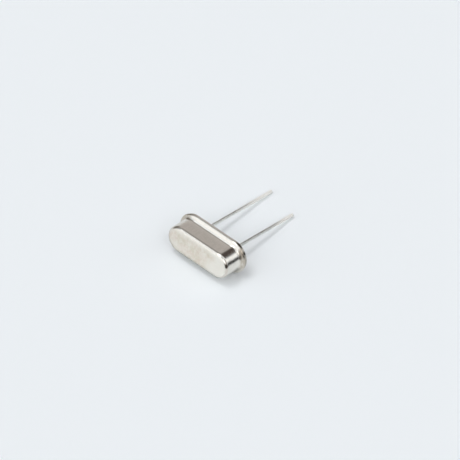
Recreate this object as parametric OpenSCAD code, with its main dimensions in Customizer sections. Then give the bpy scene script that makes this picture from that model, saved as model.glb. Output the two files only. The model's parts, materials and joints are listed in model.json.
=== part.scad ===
// Two-lead quartz crystal unit in a low metal can, lying on its side.
//
// Each piece is drawn upright: seating plane at z = 0, can upwards, leads downwards, long side
// along x. lie_down() then lays it on the long edge of its flange and on the end of its longer
// lead, the way the loose component rests on a table: can towards -Y, leads towards +Y.

/* [Can] */
// Length of the can over its side wall
can_l = 9.95; // [9:0.05:10.2]
// Width of the can over its side wall
can_w = 3.75; // [3.5:0.05:4]
// Height of the can's flat end over the seating plane
can_h = 3.42; // [3.2:0.01:4]
// Thickness of the drawn sheet
can_t = 0.15; // [0.12:0.01:0.2]
// Radius of the rounded edge round the flat end
can_edge_r = 0.37; // [0.3:0.02:0.5]

/* [Flange] */
// How far the can's flange stands out from its side wall
flange_out = 0.475; // [0.42:0.005:0.55]
// Radius of the flange's rounded rim
rim_r = 0.25; // [0.2:0.01:0.3]
// Radius of the flare between side wall and flange
flare_r = 0.41; // [0.35:0.01:0.5]

/* [Base] */
// Thickness of the base's flange
base_flange_t = 0.42; // [0.3:0.01:0.45]
// How far the base's flange stays inside the can's flange
base_inset = 0.11; // [0.06:0.01:0.15]
// Height of the raised deck over the seating plane
deck_h = 1; // [0.8:0.05:1.1]
// Gap between the deck and the can's inner wall
deck_gap = 0.12; // [0.1:0.01:0.2]
// Diameter of the two eyelets
eyelet_d = 1.3; // [1.1:0.05:1.5]

/* [Leads] */
// Spacing of the two leads at the base
lead_pitch = 4.88; // [4.7:0.01:5.08]
// Diameter of the wire
lead_d = 0.43; // [0.4:0.01:0.5]
// Length of the left lead below the seating plane
lead_left_l = 12.75; // [10:0.05:14]
// Length of the right lead below the seating plane
lead_right_l = 11.35; // [5:0.05:12.7]
// Angle by which both leads lean from square
lead_lean = 2.75; // [0.5:0.25:4]
// Side they lean to, from the right end (0) round to the upper side wall (90)
lean_side = 25; // [0:5:90]

/* [Quartz] */
// Length of the quartz strip
quartz_l = 8; // [7.6:0.1:8.2]
// Width of the quartz strip
quartz_w = 1.9; // [1.5:0.1:2]
// Thickness of the quartz strip
quartz_t = 0.2; // [0.15:0.01:0.3]
// Height of the strip's lower face over the seating plane
quartz_h = 1.85; // [1.8:0.05:2]

/* [Hidden] */
$fn = 64;

LEFT = -1;
RIGHT = 1;

// Racetrack outline: two half rounds joined by a straight run
straight = can_l - can_w;
can_half = can_w / 2;
flange_half = can_half + flange_out;

// Flange: its rounded rim runs into the flare at one tangent point
rim_c = [flange_half - rim_r, base_flange_t];
flare_x = can_half + flare_r;
flare_rise = sqrt(pow(rim_r + flare_r, 2) - pow(flare_x - rim_c[0], 2));
flare_c = [flare_x, base_flange_t + flare_rise];
rim_end = rim_c + (flare_c - rim_c) * rim_r / (rim_r + flare_r);

// Inside of the can: the sheet turns outwards to the weld, where the weld flattens it a little
hollow_half = can_half - can_t;
hollow_top = can_h - can_t;
hollow_edge_r = can_edge_r - can_t;
root_r = 0.4;
weld_sink = 0.03;

// Base plate
base_half = flange_half - base_inset;
base_edge_r = 0.08;
deck_half = hollow_half - deck_gap;
deck_edge_r = 0.15;

// Glass seals: the glass stops short of both faces of the base and is dished between wire and wall
glass_low = 0.1;
glass_high = deck_h - 0.05;
dish_r = 0.22;
dish_depth = 0.07;

// Leads
lead_r = lead_d / 2;
lead_x = lead_pitch / 2;
bend_r = 1.5;
tip_chamfer = 0.06;
nail_head_d = 0.75;
nail_head_t = 0.12;
nail_head_h = 1.3;

// Silver films, drawn thick enough to be solids
film_t = 0.02;
film_l = 4.6;
film_w = 1.4;
tab_w = 0.8;
tab_end = quartz_l / 2 - 0.1;

// Springs: strips with the same small radius in every bend
strip_t = 0.1;
strip_w = 1.2;
strip_bend_r = 0.2;
foot_l = 1;
shelf_top = quartz_h - film_t;
riser_x = lead_x + 0.55;
stop_x = quartz_l / 2 + 0.22;
stop_h = 0.27;
slot = [0.5, 0.5];
slot_x = quartz_l / 2 - 0.35;

// Adhesive dots
dot_d = 0.9;
dot_x = quartz_l / 2 - 0.3;
dot_h = quartz_t + 2 * film_t + 0.16;
dot_edge_r = 0.14;

// Resting pose: the edge of the can's flange and the longer lead's end lie in one plane
bend_l = bend_r * lead_lean * PI / 180;
lean_up = atan(tan(lead_lean) * sin(lean_side));
tip_ring = lead_left_l - bend_l - tip_chamfer;
tip_depth = bend_r * sin(lead_lean) + tip_ring * cos(lead_lean);
tip_rise = (bend_r * (1 - cos(lead_lean)) + tip_ring * sin(lead_lean)) * sin(lean_side);
rest_rise = flange_half + tip_rise - lead_r * cos(lean_up);
rest_run = tip_depth + base_flange_t + lead_r * sin(lean_up);
lean_back = atan(rest_rise / rest_run);

// Height of the seating plane's middle, and reach from it to the front and to the back
can_drop = flange_half * cos(lean_back) - base_flange_t * sin(lean_back);
base_drop = (base_half - base_edge_r) * cos(lean_back) + base_edge_r * (1 - sin(lean_back));
front_reach = (can_half - can_edge_r) * sin(lean_back) + (can_h - can_edge_r) * cos(lean_back) + can_edge_r;
end_rise = tip_rise + tip_chamfer * sin(lead_lean) * sin(lean_side);
end_depth = tip_depth + tip_chamfer * cos(lead_lean);
end_turn = (lead_r - tip_chamfer) * sin(lean_back - lean_up);
back_reach = end_rise * sin(lean_back) + end_depth * cos(lean_back) + end_turn;

module lie_down() {
    translate([0, (front_reach - back_reach) / 2, max(can_drop, base_drop)]) {
        rotate([90 - lean_back, 0, 0]) children();
    }
}

// Sweeps a profile (x = distance from the middle line, y = height) round the racetrack
module racetrack() {
    for (turn = [0, 180]) rotate([0, 0, turn]) {
        translate([straight / 2, 0, 0]) rotate([0, 0, -90]) rotate_extrude(angle = 180) children();
        rotate([90, 0, 90]) linear_extrude(height = straight, center = true) children();
    }
}

// What a rounded corner takes away: everything outside the arc, in one quadrant
module off_corner(centre, r, turn = 0) {
    translate(centre) rotate(turn) difference() {
        square(r + 1);
        circle(r);
    }
}

module can_outline() {
    // side wall and flat end
    difference() {
        translate([0, flare_c[1]]) square([can_half, can_h - flare_c[1]]);
        off_corner([can_half - can_edge_r, can_h - can_edge_r], can_edge_r);
    }
    // flare and rim
    difference() {
        union() {
            polygon([
                [0, base_flange_t],
                [flange_half, base_flange_t],
                rim_end,
                [can_half, flare_c[1]],
                [0, flare_c[1]]
            ]);
            intersection() {
                translate(rim_c) circle(rim_r);
                translate(rim_c) square(rim_r);
            }
        }
        translate(flare_c) circle(flare_r);
    }
}

module can_hollow() {
    difference() {
        translate([0, base_flange_t - 1]) square([hollow_half, hollow_top - base_flange_t + 1]);
        off_corner([hollow_half - hollow_edge_r, hollow_top - hollow_edge_r], hollow_edge_r);
    }
    difference() {
        translate([hollow_half, base_flange_t - 1]) square([root_r, root_r - weld_sink + 1]);
        translate([hollow_half + root_r, base_flange_t + root_r - weld_sink]) circle(root_r);
    }
}

module can() {
    color([0.84, 0.82, 0.79]) lie_down() racetrack() difference() {
        can_outline();
        can_hollow();
    }
}

module base_outline() {
    difference() {
        square([base_half, base_flange_t]);
        off_corner([base_half - base_edge_r, base_edge_r], base_edge_r, -90);
    }
    difference() {
        square([deck_half, deck_h]);
        off_corner([deck_half - deck_edge_r, deck_h - deck_edge_r], deck_edge_r);
    }
}

module base() {
    color([0.78, 0.77, 0.75]) lie_down() difference() {
        racetrack() base_outline();
        for (side = [LEFT, RIGHT]) translate([side * lead_x, 0, -1]) cylinder(h = deck_h + 2, d = eyelet_d);
    }
}

module glass_seal(side) {
    eyelet_r = eyelet_d / 2;
    dish_x = (lead_r + eyelet_r) / 2;
    color([0.55, 0.65, 0.6]) lie_down() translate([side * lead_x, 0, 0]) rotate_extrude() difference() {
        translate([lead_r, glass_low]) square([eyelet_r - lead_r, glass_high - glass_low]);
        translate([dish_x, glass_low - dish_r + dish_depth]) circle(dish_r);
        translate([dish_x, glass_high + dish_r - dish_depth]) circle(dish_r);
    }
}

module glass_seal_left() {
    glass_seal(LEFT);
}

module glass_seal_right() {
    glass_seal(RIGHT);
}

// Wire with a nail head inside the can, bent a little just below the seating plane
module lead(side, below) {
    run = below - bend_l;
    color([0.8, 0.79, 0.76]) lie_down() translate([side * lead_x, 0, 0]) {
        cylinder(h = nail_head_h - nail_head_t, d = lead_d);
        translate([0, 0, nail_head_h - nail_head_t]) cylinder(h = nail_head_t, d = nail_head_d);
        rotate([0, 0, lean_side]) translate([bend_r, 0, 0]) {
            rotate([90, 0, 0]) rotate_extrude(angle = lead_lean, start = 180) {
                translate([bend_r, 0]) circle(lead_r);
            }
            rotate([0, -lead_lean, 0]) translate([-bend_r, 0, -run]) {
                translate([0, 0, tip_chamfer]) cylinder(h = run - tip_chamfer, d = lead_d);
                cylinder(h = tip_chamfer, r1 = lead_r - tip_chamfer, r2 = lead_r);
            }
        }
    }
}

module lead_left() {
    lead(LEFT, lead_left_l);
}

module lead_right() {
    lead(RIGHT, lead_right_l);
}

// Quarter turn of a bent strip about centre
module strip_bend(centre, turn) {
    translate(centre) rotate(turn) intersection() {
        difference() {
            circle(strip_bend_r);
            circle(strip_bend_r - strip_t);
        }
        square(strip_bend_r);
    }
}

// Bent strip from the side: foot on the nail head, riser, shelf under the quartz, end stop
module spring_profile() {
    foot_end = riser_x - strip_bend_r;
    shelf_start = riser_x - strip_t + strip_bend_r;
    shelf_end = stop_x - strip_bend_r;
    riser_low = nail_head_h + strip_bend_r;
    riser_high = shelf_top - strip_bend_r;
    stop_low = shelf_top - strip_t + strip_bend_r;
    translate([lead_x - foot_l / 2, nail_head_h]) square([foot_end - lead_x + foot_l / 2, strip_t]);
    strip_bend([foot_end, riser_low], -90);
    translate([riser_x - strip_t, riser_low]) square([strip_t, riser_high - riser_low]);
    strip_bend([shelf_start, riser_high], 90);
    translate([shelf_start, shelf_top - strip_t]) square([shelf_end - shelf_start, strip_t]);
    strip_bend([shelf_end, stop_low], -90);
    translate([stop_x - strip_t, stop_low]) square([strip_t, shelf_top + stop_h - stop_low]);
}

module spring_strip() {
    difference() {
        rotate([90, 0, 0]) linear_extrude(height = strip_w, center = true) spring_profile();
        translate([slot_x, 0, shelf_top]) cube([slot[0], slot[1], 3 * strip_t], center = true);
    }
}

module facing(side) {
    rotate([0, 0, side == LEFT ? 180 : 0]) children();
}

module spring(side) {
    color([0.76, 0.7, 0.58]) lie_down() facing(side) spring_strip();
}

module spring_left() {
    spring(LEFT);
}

module spring_right() {
    spring(RIGHT);
}

module quartz_strip() {
    translate([-quartz_l / 2, -quartz_w / 2, quartz_h]) cube([quartz_l, quartz_w, quartz_t]);
}

module quartz_blank() {
    color([0.85, 0.88, 0.9, 0.6]) lie_down() quartz_strip();
}

// Silver film on one face of the strip, with a tab to one end
module film(face_z, side) {
    translate([0, 0, face_z]) linear_extrude(height = film_t) {
        square([film_l, film_w], center = true);
        facing(side) translate([0, -tab_w / 2]) square([tab_end, tab_w]);
    }
}

module electrode_top() {
    color([0.86, 0.86, 0.85]) lie_down() film(quartz_h + quartz_t, LEFT);
}

module electrode_bottom() {
    color([0.86, 0.86, 0.85]) lie_down() film(quartz_h - film_t, RIGHT);
}

// Dot of silver adhesive on one end of the strip, shaped by what it touches
module adhesive(side) {
    film_z = side == LEFT ? quartz_h + quartz_t : quartz_h - film_t;
    color([0.7, 0.7, 0.68]) lie_down() facing(side) difference() {
        translate([dot_x, 0, shelf_top]) rotate_extrude() difference() {
            square([dot_d / 2, dot_h]);
            off_corner([dot_d / 2 - dot_edge_r, dot_h - dot_edge_r], dot_edge_r);
        }
        quartz_strip();
        spring_strip();
        film(film_z, RIGHT);
    }
}

module adhesive_left() {
    adhesive(LEFT);
}

module adhesive_right() {
    adhesive(RIGHT);
}

can();
base();
glass_seal_left();
glass_seal_right();
lead_left();
lead_right();
spring_left();
spring_right();
quartz_blank();
electrode_top();
electrode_bottom();
adhesive_left();
adhesive_right();
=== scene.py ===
import json
import math

import bpy
from mathutils import Matrix, Vector

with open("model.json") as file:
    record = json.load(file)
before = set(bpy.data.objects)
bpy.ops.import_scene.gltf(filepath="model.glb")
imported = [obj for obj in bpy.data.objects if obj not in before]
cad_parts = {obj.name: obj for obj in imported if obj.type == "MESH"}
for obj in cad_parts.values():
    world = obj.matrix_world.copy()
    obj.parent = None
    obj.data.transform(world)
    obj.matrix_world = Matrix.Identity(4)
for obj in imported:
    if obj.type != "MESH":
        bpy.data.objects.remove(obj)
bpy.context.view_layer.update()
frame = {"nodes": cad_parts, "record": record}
MM = 0.001
MICRON = 1e-6
DEGREE = 180 / math.pi  # degrees in a radian

# ---- the part's own axes in the row frame -------------------------------------------------
# u runs along the can's long side, v out of the side wall that lies uppermost, and w towards
# the flat end. Lengths along them are in mm.
LEAN_BACK = math.radians(10.3465)
U = Vector((1, 0, 0))
V = Vector((0, math.sin(LEAN_BACK), math.cos(LEAN_BACK)))
W = Vector((0, -math.cos(LEAN_BACK), math.sin(LEAN_BACK)))
SEAT = Vector((0, -4.4793, 2.2364))  # centre of the seating plane

# sizes of part.scad that the materials follow
CAN_H = 3.42         # from the seating plane to the flat end
CAN_EDGE_R = 0.37    # radius round the flat end
CAN_STRAIGHT = 6.2   # straight part of the can's long side
FLARE_TOP = 1.05     # where the side wall leaves the flare
EYELET_U = 2.44      # from the middle of the base to each eyelet


# ---- node helpers -------------------------------------------------------------------------
class Tree:
    """Shorthand for building a node tree. A value is a socket, a number, a vector or RGB."""

    def __init__(self, tree):
        self.tree = tree
        tree.nodes.clear()

    def new(self, kind, **inputs):
        """Add a node and fill its inputs by name, where _ stands for a space."""
        node = self.tree.nodes.new(kind)
        for name, value in inputs.items():
            self.put(node, name, value)
        return node

    def put(self, node, name, value):
        """Link or set one input, given by its name or its number."""
        socket = node.inputs[name] if isinstance(name, int) else self.find(node, name)
        if isinstance(value, bpy.types.NodeSocket):
            self.tree.links.new(value, socket)
        elif socket.type == "RGBA":
            socket.default_value = (*value, 1)
        else:
            socket.default_value = value

    @staticmethod
    def find(node, name):
        for socket in node.inputs:
            if socket.name.replace(" ", "_").lower() == name.lower() and socket.enabled:
                return socket
        raise KeyError(name)

    def fill(self, node, *values):
        """Fill a node's first inputs in order."""
        for i, value in enumerate(values):
            self.put(node, i, value)
        return node

    def math(self, operation, *values):
        node = self.new("ShaderNodeMath")
        node.operation = operation
        return self.fill(node, *values).outputs[0]

    def mul(self, first, *others):
        for other in others:
            first = self.math("MULTIPLY", first, other)
        return first

    def add(self, a, b):
        return self.math("ADD", a, b)

    def sub(self, a, b):
        return self.math("SUBTRACT", a, b)

    def abs(self, value):
        return self.math("ABSOLUTE", value)

    def vmath(self, operation, *values):
        node = self.new("ShaderNodeVectorMath")
        node.operation = operation
        output = "Value" if operation in ("DOT_PRODUCT", "LENGTH") else "Vector"
        return self.fill(node, *values).outputs[output]

    def scaled(self, vector, factor):
        node = self.new("ShaderNodeVectorMath")
        node.operation = "SCALE"
        self.put(node, 0, vector)
        self.put(node, 3, factor)
        return node.outputs["Vector"]

    def combine(self, x, y, z):
        return self.fill(self.new("ShaderNodeCombineXYZ"), x, y, z).outputs[0]

    def smooth(self, value, low, high, out_low=0.0, out_high=1.0):
        """Soft step from out_low at low to out_high at high."""
        node = self.new("ShaderNodeMapRange")
        node.interpolation_type = "SMOOTHSTEP"
        return self.fill(node, value, low, high, out_low, out_high).outputs[0]

    def between(self, value, low, high):
        """1 where the value lies between two edges, each the (start, end) of a soft step."""
        return self.mul(self.smooth(value, *low), self.smooth(value, *reversed(high)))

    def mix(self, factor, a, b):
        node = self.new("ShaderNodeMix")
        node.data_type = "RGBA"
        self.put(node, 0, factor)
        self.put(node, 6, a)
        self.put(node, 7, b)
        return node.outputs[2]

    def cover(self, colour, *layers):
        """Lay more colours over the first one, each where its own factor says."""
        for factor, tone in layers:
            colour = self.mix(factor, colour, tone)
        return colour

    def noise(self, vector, scale, detail, rough, distortion=0.0):
        node = self.new("ShaderNodeTexNoise", Vector=vector, Scale=scale, Detail=detail,
                        Roughness=rough, Distortion=distortion)
        return node.outputs[0]

    def streaks(self, axes, fineness, detail, rough, distortion=0.0):
        """Noise in streaks that run along the axes with the least fineness."""
        stretched = [self.mul(axis, factor) for axis, factor in zip(axes, fineness)]
        return self.noise(self.combine(*stretched), 1.0, detail, rough, distortion)

    def cells(self, vector, scale):
        """Distance to the nearest of many scattered points."""
        node = self.new("ShaderNodeTexVoronoi", Vector=vector, Scale=scale)
        return node.outputs["Distance"]

    def bump(self, height, microns, normal=None):
        """Shader normal for a height map of 0 to 1 that stands for the given depth."""
        node = self.new("ShaderNodeBump", Strength=1.0, Distance=microns * MICRON,
                        Height=height)
        if normal is not None:
            self.put(node, "Normal", normal)
        return node.outputs[0]


def material(name):
    mat = bpy.data.materials.new(name)
    mat.use_nodes = True
    tree = Tree(mat.node_tree)
    shader = tree.new("ShaderNodeBsdfPrincipled")
    out = tree.new("ShaderNodeOutputMaterial")
    tree.tree.links.new(shader.outputs[0], out.inputs[0])
    return mat, tree, shader


def part_axes(tree):
    """Position along u, v and w as sockets, and the three joined to a vector."""
    place = tree.new("ShaderNodeTexCoord").outputs["Object"]
    local = tree.vmath("SUBTRACT", place, tuple(SEAT * MM))
    axes = [tree.mul(tree.vmath("DOT_PRODUCT", local, tuple(axis)), 1 / MM)
            for axis in (U, V, W)]
    return axes, tree.combine(*axes)


# ---- camera -------------------------------------------------------------------------------
# direction, focal length and middle of the picture as measured in the photograph
AZIMUTH, ELEVATION = math.radians(42.405), math.radians(47.014)
DISTANCE = 1000          # mm
FOCAL_LENGTH = 8015      # in pixels of a picture that is PICTURE pixels wide
PICTURE = 460
SENSOR = 36              # width, mm
CLIP_START, CLIP_END = 0.1, 10       # metres
AIM_W = 0.05             # the camera points at a place beside the part's point at this w:
AIM_RIGHT, AIM_UP = 1.8828, 1.4785   # by this much to the right of it and above it, mm

to_camera = Vector((math.sin(AZIMUTH) * math.cos(ELEVATION),
                    -math.cos(AZIMUTH) * math.cos(ELEVATION), math.sin(ELEVATION)))
camera_right = Vector((math.cos(AZIMUTH), math.sin(AZIMUTH), 0))
camera_up = to_camera.cross(camera_right)
camera_data = bpy.data.cameras.new("camera")
camera_data.sensor_width = SENSOR
camera_data.lens = SENSOR * FOCAL_LENGTH / PICTURE
camera_data.clip_start = CLIP_START
camera_data.clip_end = CLIP_END
camera = bpy.data.objects.new("camera", camera_data)
bpy.context.scene.collection.objects.link(camera)
offset = camera_right * AIM_RIGHT + camera_up * AIM_UP + to_camera * DISTANCE
camera.location = (SEAT + W * AIM_W) * MM + offset * MM
camera.rotation_mode = "QUATERNION"
turned = Matrix((camera_right, camera_up, to_camera)).transposed()
camera.rotation_quaternion = turned.to_quaternion()
bpy.context.scene.camera = camera

# ---- floor --------------------------------------------------------------------------------
FLOOR_RADIUS = 0.9  # metres
FLOOR_SIDES = 96
floor_mesh = bpy.data.meshes.new("floor")
ring = [(math.cos(math.tau * i / FLOOR_SIDES) * FLOOR_RADIUS,
         math.sin(math.tau * i / FLOOR_SIDES) * FLOOR_RADIUS, 0.0) for i in range(FLOOR_SIDES)]
floor_mesh.from_pydata(ring, [], [list(range(FLOOR_SIDES))])
floor = bpy.data.objects.new("floor", floor_mesh)
bpy.context.scene.collection.objects.link(floor)
table, t, table_shader = material("table")
t.put(table_shader, "Base_Color", (0.91, 0.94, 0.958))
t.put(table_shader, "Roughness", 0.6)
t.put(table_shader, "Specular_IOR_Level", 0.2)
floor_mesh.materials.append(table)

# ---- surroundings -------------------------------------------------------------------------
# Soft panels of the studio, seen in the metal. Each has the azimuth of its middle from +Y
# towards +X, its width, its lowest and highest elevation and its softness, all in degrees,
# and its brightness. A later panel covers the ones before it.
PANELS = [
    (0, 380, 61.2, 95, 8, (0.68, 0.69, 0.71)),      # ceiling
    (126, 188, 13, 62, 9, (1.16, 1.185, 1.21)),     # bright wall on the camera's side
    (-165, 66, -6, 34, 16, (1.12, 1.135, 1.165)),   # bright, low in front of the flat end
    (80, 46, 20, 62, 14, (0.52, 0.52, 0.52)),       # grey, to the right
    (86, 164, -6, 16, 9, (0.03, 0.03, 0.03)),       # dark foot of the room on the right
    (110, 72, -6, 27, 14, (0.055, 0.05, 0.046)),    # and a higher part of it
    (-35, 112, -6, 57, 12, (0.49, 0.465, 0.452)),   # warm grey wall behind the part
    (-64, 88, 44, 62.2, 8, (0.28, 0.265, 0.26)),    # its darker top
    (7, 46, 21, 60, 9, (0.078, 0.062, 0.055)),      # dark brown, behind the leads
    (-47, 40, -6, 14, 8, (0.62, 0.61, 0.60)),       # light foot of the wall behind
    (-85, 60, -6, 42, 10, (0.235, 0.225, 0.215)),   # dark, to the left
]
# Round lights, which cover the panels: azimuth and elevation of the middle, half angle and
# softness in degrees, and brightness.
BOXES = [
    (-129, 74.5, 12, 10.5, (5.65, 5.72, 5.79)),     # main soft box overhead
    (112, 45, 14, 9, (2.2, 2.22, 2.25)),            # weak one beside the camera
]
BACKGROUND = (0.80, 0.85, 0.89)

world = bpy.data.worlds.new("studio")
bpy.context.scene.world = world
world.use_nodes = True
t = Tree(world.node_tree)
direction = t.new("ShaderNodeTexCoord").outputs["Generated"]
to_x, to_y, to_z = t.new("ShaderNodeSeparateXYZ", Vector=direction).outputs
elevation = t.mul(t.math("ARCSINE", to_z), DEGREE)


def panel(azimuth, width, low, high, soft):
    """1 inside a patch of the surroundings, 0 outside it."""
    a = math.radians(azimuth)
    along = t.add(t.mul(to_x, math.sin(a)), t.mul(to_y, math.cos(a)))
    across = t.sub(t.mul(to_x, math.cos(a)), t.mul(to_y, math.sin(a)))
    off = t.mul(t.abs(t.math("ARCTAN2", across, along)), DEGREE)
    inside = t.smooth(off, width / 2 + soft / 2, width / 2 - soft / 2)
    above = t.smooth(elevation, low - soft / 2, low + soft / 2)
    below = t.smooth(elevation, high + soft / 2, high - soft / 2)
    return t.mul(inside, t.mul(above, below))


def disc(azimuth, height, half, soft):
    """1 inside a round patch of the surroundings, 0 outside it."""
    a, h = math.radians(azimuth), math.radians(height)
    centre = (math.sin(a) * math.cos(h), math.cos(a) * math.cos(h), math.sin(h))
    off = t.mul(t.math("ARCCOSINE", t.vmath("DOT_PRODUCT", direction, centre)), DEGREE)
    return t.smooth(off, half + soft / 2, half - soft / 2)


light = BACKGROUND
for shape, places in ((panel, PANELS), (disc, BOXES)):
    for *where, brightness in places:
        light = t.mix(shape(*where), light, brightness)
seen = t.mix(t.new("ShaderNodeLightPath").outputs["Is Camera Ray"], light, BACKGROUND)
back = t.new("ShaderNodeBackground", Color=seen, Strength=1.0)
t.tree.links.new(back.outputs[0], t.new("ShaderNodeOutputWorld").inputs[0])


# ---- materials of the part ----------------------------------------------------------------
# The edges of a soft step are places in mm along u, v and w, or levels of a noise.
def can_material():
    """Nickel-plated drawn sheet: satin wall with draw lines, matt flat end, bright flange."""
    mat, t, shader = material("drawn_nickel_can")
    (u, v, w), place = part_axes(t)
    off_centre = t.abs(u)

    # where the forms of the can lie
    flat_end = t.smooth(w, CAN_H - 0.05, CAN_H - 0.01)
    fold = t.between(w, (CAN_H - 0.42, CAN_H - 0.2), (CAN_H - 0.06, CAN_H - 0.01))
    wall = t.between(w, (FLARE_TOP - 0.1, FLARE_TOP + 0.1), (CAN_H - 0.45, CAN_H - 0.2))
    flange = t.smooth(w, FLARE_TOP, FLARE_TOP - 0.3)
    ends = t.smooth(off_centre, 3.0, 4.4)

    # patterns
    lines = t.streaks((u, v, w), (14, 14, 0.55), 3.0, 0.65)
    bands = t.streaks((u, v, w), (3.4, 3.4, 0.3), 2.0, 0.5)
    smears = t.streaks((u, v, w), (1.7, 1.0, 1.0), 4.0, 0.6, 0.5)
    ripple = t.noise(place, 1.1, 1.5, 0.5)
    cloud = t.noise(place, 0.85, 4.0, 0.62, 0.6)
    fine_cloud = t.noise(place, 2.6, 3.0, 0.6)
    grain = t.noise(place, 16.0, 3.0, 0.7)

    # straw-brown smears on the flat end, weak at its right, its upper edge and its low corners
    rightward = t.add(u, t.smooth(v, 0.5, -0.1, 0.0, 0.8))
    low_corners = t.mul(t.smooth(v, -0.1, -0.7), t.smooth(t.abs(t.add(u, 0.4)), 1.6, 2.4))
    worn = t.mul(t.smooth(rightward, 3.6, 1.6, 0.12, 1.0),
                 t.smooth(fine_cloud, 0.3, 0.62, 0.62, 1.0), flat_end,
                 t.smooth(smears, 0.34, 0.62, 0.38, 1.0), t.smooth(v, 1.4, 0.9, 0.35, 1.0),
                 t.sub(1.0, t.mul(low_corners, 0.5)))
    straw = t.mix(t.smooth(cloud, 0.4, 0.6), (0.735, 0.67, 0.555), (0.76, 0.665, 0.57))
    # darker, browner smears on the metal round the left end, off the flat end
    darker_left_end = t.mul(t.smooth(u, -3.3, -4.5), t.sub(1.0, flat_end),
                    t.smooth(smears, 0.36, 0.6, 0.35, 0.75))
    # heat tint beside the weld, stronger towards the ends, and the rim darker still at the
    # ends
    weld = t.mul(t.smooth(w, 0.56, 0.43),
                 t.smooth(t.noise(place, 1.7, 3.0, 0.6), 0.42, 0.66, 0.15, 0.8),
                 t.smooth(off_centre, 2.6, 3.8, 0.3, 1.0))
    dark_ends = t.mul(ends, t.smooth(w, 0.54, 0.42, 0.0, 0.7))
    # tarnish on the whole flange, brown stain at both its ends, a blotch on the right one
    tarnish = t.smooth(t.noise(place, 2.1, 4.0, 0.65, 0.8), 0.56, 0.70, 0.0, 0.5)
    stain = t.math("MAXIMUM", t.mul(t.smooth(u, 4.3, 4.9), t.smooth(v, -1.1, -0.3)),
                   t.smooth(u, -3.5, -4.3))
    stain = t.mul(stain, t.mul(flange, t.smooth(fine_cloud, 0.3, 0.6, 0.35, 0.85)))
    blotch = t.mul(t.between(u, (4.1, 4.5), (4.9, 5.2)), t.smooth(v, 0.3, 0.9),
                   t.smooth(w, 0.95, 0.7, 0.0, 0.8))
    # painted shade low down between the wall and the flange at both ends, where shade falls
    # under the part
    painted_crevice_shade = t.mul(ends, t.between(w, (0.6, 0.8), (0.95, 1.5)),
                  t.smooth(v, -0.3, -1.1, 0.0, 0.75))
    nickel = t.mix(flat_end, (0.835, 0.805, 0.745), (0.89, 0.857, 0.785))
    t.put(shader, "Base_Color", t.cover(
        nickel,
        (worn, straw),
        (t.mul(t.smooth(lines, 0.36, 0.68), t.mul(wall, 0.35)), (0.74, 0.705, 0.65)),
        (t.mul(wall, t.smooth(bands, 0.38, 0.64, 0.0, 0.32)), (0.765, 0.725, 0.675)),
        (t.mul(wall, t.smooth(cloud, 0.42, 0.6, 0.0, 0.5)), (0.755, 0.745, 0.68)),
        # painted sheen: the wall is painted lighter low down, towards the flare
        (t.mul(wall, t.smooth(w, 2.1, 1.2, 0.0, 0.5)), (0.90, 0.875, 0.82)),
        (darker_left_end, (0.60, 0.535, 0.475)),
        (t.mul(fold, t.smooth(u, 3.7, 4.5, 0.0, 0.45)), (0.58, 0.50, 0.43)),
        (weld, (0.64, 0.60, 0.53)),
        (t.mul(flange, tarnish), (0.66, 0.60, 0.52)),
        (stain, (0.52, 0.46, 0.38)),
        (blotch, (0.40, 0.34, 0.27)),
        (dark_ends, (0.34, 0.295, 0.24)),
        # painted shade low down in the crevice at both ends
        (painted_crevice_shade, (0.33, 0.305, 0.265)),
    ))

    matt = t.smooth(fine_cloud, 0.3, 0.7, 0.13, 0.22)
    rough = t.add(t.smooth(lines, 0.25, 0.75, 0.10, 0.20), t.mul(grain, 0.05))
    rough = t.math("MULTIPLY_ADD", flat_end, matt, rough)
    rough = t.sub(rough, t.mul(t.add(fold, flange), 0.045))
    rough = t.add(rough, t.mul(ends, flange, 0.13))
    t.put(shader, "Roughness", rough)
    t.put(shader, "Metallic", 1.0)
    t.put(shader, "Anisotropic", 0.35)
    facing = t.new("ShaderNodeNewGeometry").outputs["Normal"]
    around = t.vmath("CROSS_PRODUCT", tuple(W), facing)
    tangent = t.vmath("ADD", around, tuple(U * 0.03))  # which is never zero on the flat end
    t.put(shader, "Tangent", t.vmath("NORMALIZE", tangent))

    # the shading carries the crown of the fold and the run-out of the flare into the wall
    side = t.math("SIGN", u)
    beyond = t.math("MAXIMUM", t.sub(off_centre, CAN_STRAIGHT / 2), 0.0)
    reach = t.vmath("LENGTH", t.combine(beyond, v, 0.0))
    outward = t.vmath("ADD", t.scaled(tuple(U), t.mul(side, beyond)), t.scaled(tuple(V), v))
    crown = t.mul(t.smooth(w, CAN_H - CAN_EDGE_R, CAN_H - 0.2),
                  t.smooth(reach, 1.30, 1.46), 0.34)
    crown = t.scaled(t.vmath("NORMALIZE", outward), crown)
    flare = t.mul(t.between(w, (0.68, 0.86), (1.0, 1.26)),
                  t.smooth(u, 3.45, 3.1, 0.0, 0.38))
    facing = t.vmath("ADD", t.vmath("ADD", facing, crown), t.scaled(tuple(W), flare))

    # the drawn ends are a little flatter than a half circle
    angle = t.mul(t.math("ARCTAN2", beyond, v), DEGREE)
    flatter = t.mul(t.between(angle, (25, 78), (92, 118)),
                    t.mul(side, t.smooth(w, 0.75, 1.15, 0.0, 0.15)))
    facing = t.vmath("NORMALIZE", t.vmath("ADD", facing, t.scaled(around, flatter)))

    uneven = t.mul(wall, t.smooth(off_centre, 2.9, 3.5, 0.4, 1.0))
    relief = facing
    for height, microns in (
        (t.mul(lines, wall), 0.5),
        (t.mul(ripple, wall), 9.0),
        (t.mul(fine_cloud, uneven), 6.5),
        (t.mul(grain, t.add(t.mul(flat_end, 0.9), 0.1)), 0.35),
        (t.mul(fine_cloud, flange), 3.0),
    ):
        relief = t.bump(height, microns, relief)
    t.put(shader, "Normal", relief)
    return mat


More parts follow.
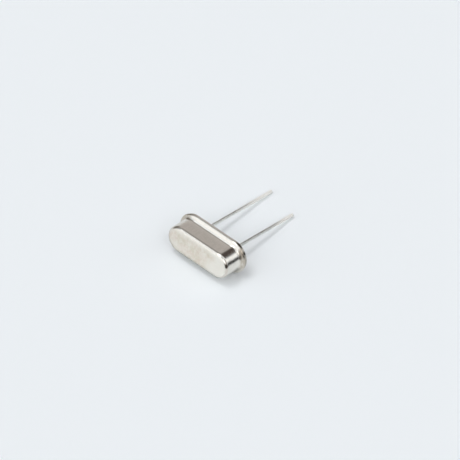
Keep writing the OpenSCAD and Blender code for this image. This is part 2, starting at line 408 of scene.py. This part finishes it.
def base_material():
    """Nickel-plated header stamping, satin, with rolled grain and heat tint at its flange."""
    mat, t, shader = material("plated_base")
    (u, v, w), place = part_axes(t)
    off_centre = t.abs(u)
    rolled = t.streaks((u, v, w), (0.9, 13, 13), 3.0, 0.6)
    grain = t.noise(place, 12.0, 3.0, 0.7)
    cloud = t.noise(place, 0.9, 4.0, 0.6, 0.5)
    mottle = t.noise(place, 2.4, 3.0, 0.65)
    edge = t.smooth(w, 0.03, 0.10)
    toward_ends = t.smooth(off_centre, 2.6, 3.8, 0.3, 1.0)

    # the glass sealing leaves oxide round each eyelet, and the weld a tint on the edge,
    # stronger towards the ends; the edge is darker still at the ends
    from_eyelet = t.vmath("LENGTH", t.combine(t.sub(off_centre, EYELET_U), v, 0.0))
    weld = t.mul(t.smooth(w, 0.20, 0.38),
                 t.smooth(t.noise(place, 1.6, 3.0, 0.6), 0.4, 0.65, 0.15, 0.75), toward_ends)
    mottled = t.mul(edge, toward_ends, t.smooth(mottle, 0.46, 0.64, 0.0, 0.6))
    dark_ends = t.mul(edge, t.smooth(off_centre, 3.0, 4.4, 0.0, 0.75))
    t.put(shader, "Base_Color", t.cover(
        (0.82, 0.79, 0.735),
        (t.smooth(cloud, 0.35, 0.68, 0.0, 0.6), (0.73, 0.685, 0.615)),
        (t.smooth(rolled, 0.4, 0.75, 0.0, 0.3), (0.66, 0.63, 0.58)),
        (t.smooth(from_eyelet, 0.95, 0.62, 0.0, 0.65), (0.50, 0.475, 0.44)),
        (t.mul(edge, 0.8), (0.86, 0.865, 0.83)),
        (weld, (0.66, 0.625, 0.555)),
        (mottled, (0.58, 0.55, 0.485)),
        (dark_ends, (0.30, 0.265, 0.22)),
    ))
    t.put(shader, "Metallic", 1.0)
    rough = t.add(t.smooth(rolled, 0.3, 0.75, 0.17, 0.29), t.mul(cloud, 0.08))
    t.put(shader, "Roughness", t.sub(rough, t.mul(edge, 0.10)))
    t.put(shader, "Normal", t.bump(rolled, 0.6, t.bump(grain, 0.5)))
    return mat


def lead_material():
    """Nickel-iron wire, bright and finely scored by its die, tinned towards its cut end."""
    mat, t, shader = material("tinned_wire")
    (u, v, w), place = part_axes(t)
    along = t.mul(w, -1.0)  # from the seating plane towards the cut end
    scored = t.streaks((u, v, w), (26, 26, 0.8), 3.0, 0.6)
    lumps = t.streaks((u, v, w), (2.4, 2.4, 1.1), 3.0, 0.55)
    grain = t.noise(place, 22.0, 2.0, 0.6)
    tin = t.smooth(t.add(along, t.mul(t.sub(lumps, 0.5), 2.2)), 5.5, 10.5)
    seal = t.smooth(along, 1.6, 0.2)
    left_tone = t.mix(tin, (0.85, 0.855, 0.83), (0.97, 0.955, 0.91))
    # painted shade: the right lead is painted darker than the left, short of its tin
    right_lead_shaded_tone = t.mix(tin, (0.68, 0.685, 0.67), (0.97, 0.95, 0.90))
    t.put(shader, "Base_Color", t.cover(
        left_tone,
        # painted shade on the right lead
        (t.smooth(u, 0.0, 1.0, 0.0, 0.7), right_lead_shaded_tone),
        (t.smooth(scored, 0.45, 0.75, 0.0, 0.4), (0.68, 0.655, 0.61)),
        (t.mul(tin, t.smooth(lumps, 0.5, 0.72, 0.0, 0.5)), (0.86, 0.82, 0.73)),
        (t.mul(seal, 0.55), (0.50, 0.475, 0.44)),
    ))
    t.put(shader, "Metallic", t.smooth(tin, 0.55, 1.0, 1.0, 0.35))
    rough = t.add(t.smooth(tin, 0.0, 1.0, 0.22, 0.52), t.mul(scored, 0.10))
    t.put(shader, "Roughness", rough)
    relief = t.bump(t.mul(lumps, tin), 9.0, t.bump(grain, 0.35))
    t.put(shader, "Normal", t.bump(scored, 0.9, relief))
    return mat


def glass_material():
    """Dark, glossy sealing glass with a few seeds, and a grey rim where it wets the metal."""
    mat, t, shader = material("sealing_glass")
    (u, v, _), place = part_axes(t)
    radius = t.vmath("LENGTH", t.combine(t.sub(t.abs(u), EYELET_U), v, 0.0))
    swirl = t.noise(place, 3.2, 4.0, 0.6, 1.2)
    seed = t.smooth(t.cells(place, 7.0), 0.16, 0.08)
    t.put(shader, "Base_Color", t.cover(
        (0.075, 0.105, 0.10),
        (t.smooth(swirl, 0.35, 0.7), (0.13, 0.165, 0.155)),
        (t.smooth(radius, 0.52, 0.63), (0.24, 0.26, 0.245)),
        (t.smooth(radius, 0.30, 0.235), (0.20, 0.21, 0.195)),
        (t.mul(seed, 0.7), (0.32, 0.36, 0.34)),
    ))
    t.put(shader, "Roughness", t.smooth(swirl, 0.3, 0.75, 0.05, 0.16))
    t.put(shader, "IOR", 1.52)
    t.put(shader, "Coat_Weight", 0.6)
    t.put(shader, "Coat_Roughness", 0.04)
    t.put(shader, "Normal", t.bump(seed, -5.0, t.bump(swirl, 5.0)))
    return mat


def spring_material():
    """Thin rolled nickel-silver strip."""
    mat, t, shader = material("spring_strip")
    axes, place = part_axes(t)
    rolled = t.streaks(axes, (1.2, 18, 2.0), 3.0, 0.6)
    cloud = t.noise(place, 1.6, 3.0, 0.6)
    t.put(shader, "Base_Color", t.cover(
        (0.80, 0.74, 0.62),
        (t.smooth(cloud, 0.35, 0.7), (0.70, 0.63, 0.50)),
        (t.smooth(rolled, 0.4, 0.75, 0.0, 0.4), (0.60, 0.55, 0.45)),
    ))
    t.put(shader, "Metallic", 1.0)
    t.put(shader, "Roughness", t.smooth(rolled, 0.3, 0.75, 0.18, 0.34))
    t.put(shader, "Normal", t.bump(rolled, 0.7))
    return mat


def quartz_material():
    """Lapped quartz: clear inside, finely frosted on its faces."""
    mat, t, shader = material("lapped_quartz")
    _, place = part_axes(t)
    frost = t.noise(place, 26.0, 4.0, 0.7)
    colour = t.mix(t.smooth(frost, 0.3, 0.7), (0.90, 0.925, 0.94), (0.97, 0.98, 0.985))
    t.put(shader, "Base_Color", colour)
    t.put(shader, "Roughness", t.smooth(frost, 0.3, 0.75, 0.26, 0.42))
    t.put(shader, "IOR", 1.544)
    t.put(shader, "Transmission_Weight", 0.9)
    t.put(shader, "Normal", t.bump(frost, 0.8))
    return mat


def silver_material():
    """Evaporated silver film, a little cloudy where it has begun to tarnish."""
    mat, t, shader = material("silver_film")
    _, place = part_axes(t)
    cloud = t.noise(place, 1.4, 4.0, 0.6, 0.5)
    frost = t.noise(place, 26.0, 4.0, 0.7)
    colour = t.mix(t.smooth(cloud, 0.4, 0.72), (0.93, 0.925, 0.91), (0.84, 0.81, 0.75))
    t.put(shader, "Base_Color", colour)
    t.put(shader, "Metallic", 1.0)
    rough = t.add(t.smooth(cloud, 0.3, 0.75, 0.20, 0.30), t.mul(frost, 0.08))
    t.put(shader, "Roughness", rough)
    t.put(shader, "Normal", t.bump(frost, 0.6))
    return mat


def adhesive_material():
    """Silver-filled epoxy: dull grey paste with bright flakes."""
    mat, t, shader = material("silver_epoxy")
    _, place = part_axes(t)
    flake = t.smooth(t.cells(place, 24.0), 0.34, 0.18)
    paste = t.noise(place, 6.0, 4.0, 0.65)
    t.put(shader, "Base_Color", t.cover(
        (0.50, 0.49, 0.465),
        (t.smooth(paste, 0.35, 0.7), (0.62, 0.61, 0.585)),
        (flake, (0.80, 0.79, 0.77)),
    ))
    t.put(shader, "Metallic", t.smooth(flake, 0.0, 1.0, 0.35, 0.95))
    t.put(shader, "Roughness", t.smooth(paste, 0.3, 0.75, 0.42, 0.62))
    t.put(shader, "Normal", t.bump(paste, 6.0))
    return mat


finishes = {
    "can": can_material(),
    "base": base_material(),
    "glass_seal": glass_material(),
    "lead": lead_material(),
    "spring": spring_material(),
    "quartz": quartz_material(),
    "silver": silver_material(),
    "adhesive": adhesive_material(),
}
for piece in frame["record"]["subparts"]:
    materials = frame["nodes"][piece["node"]].data.materials
    materials.clear()
    materials.append(finishes[piece["material_slot"]])

bpy.context.scene.view_settings.view_transform = "Standard"
